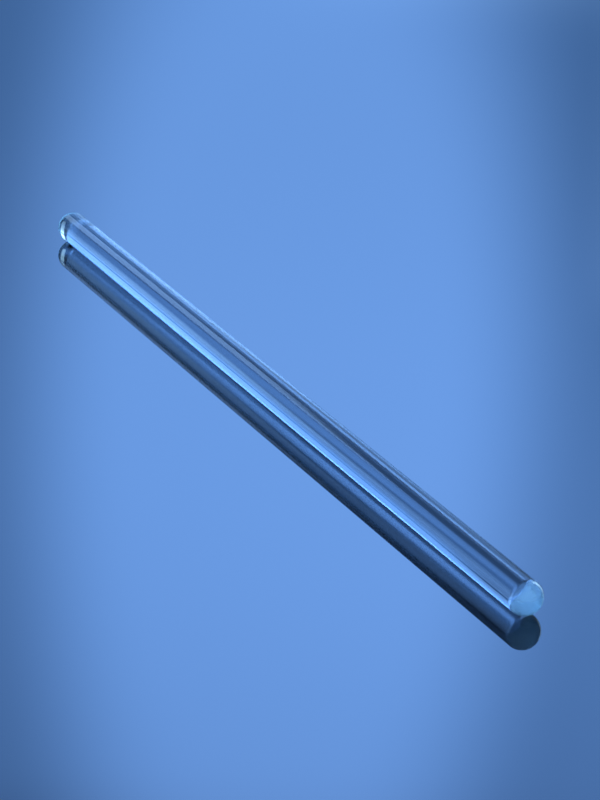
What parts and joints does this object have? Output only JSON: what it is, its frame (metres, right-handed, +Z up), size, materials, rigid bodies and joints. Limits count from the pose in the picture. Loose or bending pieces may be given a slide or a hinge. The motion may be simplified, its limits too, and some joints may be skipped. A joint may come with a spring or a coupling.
{
  "type": "glass stirring rod",
  "caption": "Solid clear glass stirring rod: a straight round cane with both ends melted round.",
  "frame": {"origin": "on the surface that the rod lies on, under the middle of its length (bottom centre of its box)", "axes": "+X along the rod's axis towards the stirring end, +Z up, +Y across the rod"},
  "size_m": [0.2, 0.007, 0.007],
  "materials": {
    "glass": "clear drawn glass with a faint blue-green cast in its length, fire-polished ends"
  },
  "bodies": {
    "root": {"rod": "glass"}
  },
  "joints": []
}
